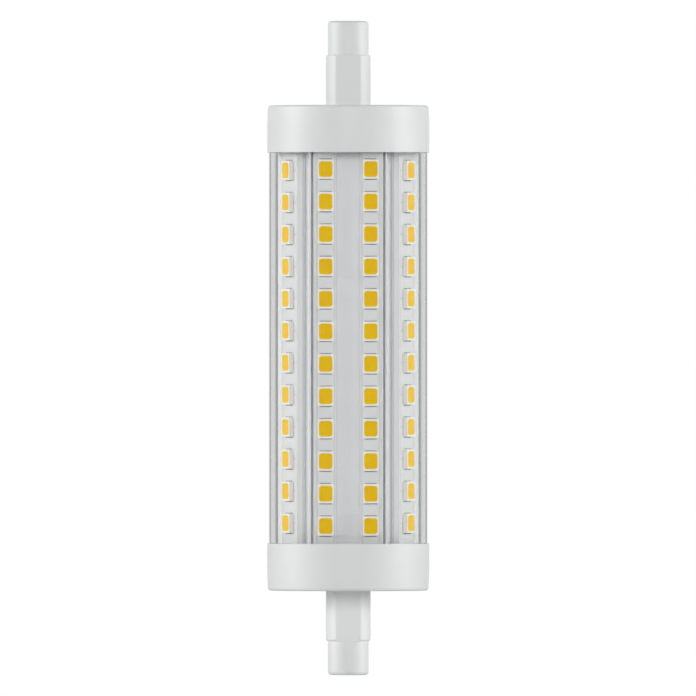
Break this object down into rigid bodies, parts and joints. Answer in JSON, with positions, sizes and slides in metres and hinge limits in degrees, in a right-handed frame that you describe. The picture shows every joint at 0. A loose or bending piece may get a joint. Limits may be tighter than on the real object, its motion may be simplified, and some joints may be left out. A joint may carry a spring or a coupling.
{
  "type": "double-ended led lamp",
  "caption": "Straight double-ended lamp: rows of light-emitting diodes on a heat sink inside a clear tube, with a white cap, barrel and recessed contact at each end",
  "frame": {"origin": "the middle of the lamp, on its axis, half way between the two barrel ends", "axes": "+Z runs along the lamp's axis out of the upper barrel; -Y is the front of the picture, square to a pair of boards and to a flat of each barrel; +X is to the right of the picture"},
  "size_m": [0.0292, 0.0292, 0.118],
  "materials": {
    "cap_plastic": "white moulded plastic, satin",
    "clear_tube": "clear extruded polycarbonate, polished",
    "contact_metal": "nickel-plated turned brass",
    "wire_insulation": "silicone-rubber insulation",
    "sink_aluminium": "extruded aluminium, satin",
    "board_white": "aluminium-backed board with white solder mask",
    "package_white": "white moulded package",
    "phosphor": "yellow phosphor in clear silicone",
    "sleeve_plastic": "thin extruded insulating plastic",
    "board_fibreglass": "glass-epoxy board with green solder mask",
    "component_black": "black moulded epoxy",
    "resistor_coat": "lacquered ceramic body",
    "capacitor_box": "yellow moulded box",
    "varistor_coat": "blue dipped epoxy",
    "ferrite": "pressed and fired ferrite",
    "winding_copper": "enamelled copper winding",
    "capacitor_sleeve": "aluminium can in a black shrink sleeve"
  },
  "bodies": {
    "root": {"bridge_rectifier": "component_black", "cover_tube": "clear_tube", "driver_board": "board_fibreglass", "driver_chip": "component_black", "film_capacitor": "capacitor_box", "filter_choke_core": "ferrite", "filter_choke_winding": "winding_copper", "fusible_resistor": "resistor_coat", "heat_sink": "sink_aluminium", "inductor_core": "ferrite", "inductor_winding": "winding_copper", "insulating_sleeve": "sleeve_plastic", "led_board_1": "board_white", "led_board_2": "board_white", "led_board_3": "board_white", "led_board_4": "board_white", "led_board_5": "board_white", "led_board_6": "board_white", "led_board_7": "board_white", "led_board_8": "board_white", "led_board_9": "board_white", "led_housings_1": "package_white", "led_housings_2": "package_white", "led_housings_3": "package_white", "led_housings_4": "package_white", "led_housings_5": "package_white", "led_housings_6": "package_white", "led_housings_7": "package_white", "led_housings_8": "package_white", "led_housings_9": "package_white", "led_phosphors_1": "phosphor", "led_phosphors_2": "phosphor", "led_phosphors_3": "phosphor", "led_phosphors_4": "phosphor", "led_phosphors_5": "phosphor", "led_phosphors_6": "phosphor", "led_phosphors_7": "phosphor", "led_phosphors_8": "phosphor", "led_phosphors_9": "phosphor", "link_ring": "board_white", "lower_contact": "contact_metal", "lower_contact_wire": "wire_insulation", "lower_end_cap": "cap_plastic", "output_capacitor": "capacitor_sleeve", "output_wires": "wire_insulation", "smoothing_capacitor": "capacitor_sleeve", "surge_varistor": "varistor_coat", "upper_contact": "contact_metal", "upper_contact_wire": "wire_insulation", "upper_end_cap": "cap_plastic"}
  },
  "joints": []
}
